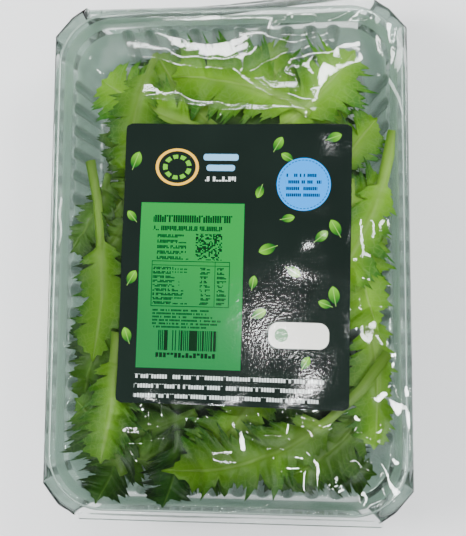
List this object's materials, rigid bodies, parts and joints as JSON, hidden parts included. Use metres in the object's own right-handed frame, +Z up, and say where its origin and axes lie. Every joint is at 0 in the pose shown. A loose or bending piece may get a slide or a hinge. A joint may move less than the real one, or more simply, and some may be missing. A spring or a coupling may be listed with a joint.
{
  "type": "packed frisee salad tray",
  "caption": "Clear ribbed tray of loose curly salad leaves inside a clear film bag with a plain-design label stuck on its top.",
  "frame": {"origin": "under the middle of the bag, on the plane it rests on", "axes": "+X across the pack to the right as the label is read, +Y along the pack towards the label's top edge, +Z up"},
  "size_m": [0.1652, 0.256, 0.0472],
  "materials": {
    "tray": "clear thermoformed plastic, glossy, faintly grey-green",
    "film": "thin clear film, very glossy, with creases",
    "label": "printed film label, near-black ground, satin",
    "leaf": "fresh leaf, satin, pale ribs and darker cut edges"
  },
  "bodies": {
    "root": {"tray": "tray", "film_bag": "film", "label": "label", "leaf_01": "leaf", "leaf_02": "leaf", "leaf_03": "leaf", "leaf_04": "leaf", "leaf_05": "leaf", "leaf_06": "leaf", "leaf_07": "leaf", "leaf_08": "leaf", "leaf_09": "leaf", "leaf_10": "leaf", "leaf_11": "leaf", "leaf_12": "leaf", "leaf_13": "leaf", "leaf_14": "leaf", "leaf_15": "leaf", "leaf_16": "leaf", "leaf_17": "leaf", "leaf_18": "leaf", "leaf_19": "leaf", "leaf_20": "leaf", "leaf_21": "leaf", "leaf_22": "leaf", "leaf_23": "leaf", "leaf_24": "leaf", "leaf_25": "leaf", "leaf_26": "leaf", "leaf_27": "leaf", "leaf_28": "leaf", "leaf_29": "leaf", "leaf_30": "leaf", "leaf_31": "leaf", "leaf_32": "leaf", "leaf_33": "leaf", "leaf_34": "leaf", "leaf_35": "leaf", "leaf_36": "leaf", "leaf_37": "leaf", "leaf_38": "leaf", "leaf_39": "leaf", "leaf_40": "leaf"}
  },
  "joints": []
}
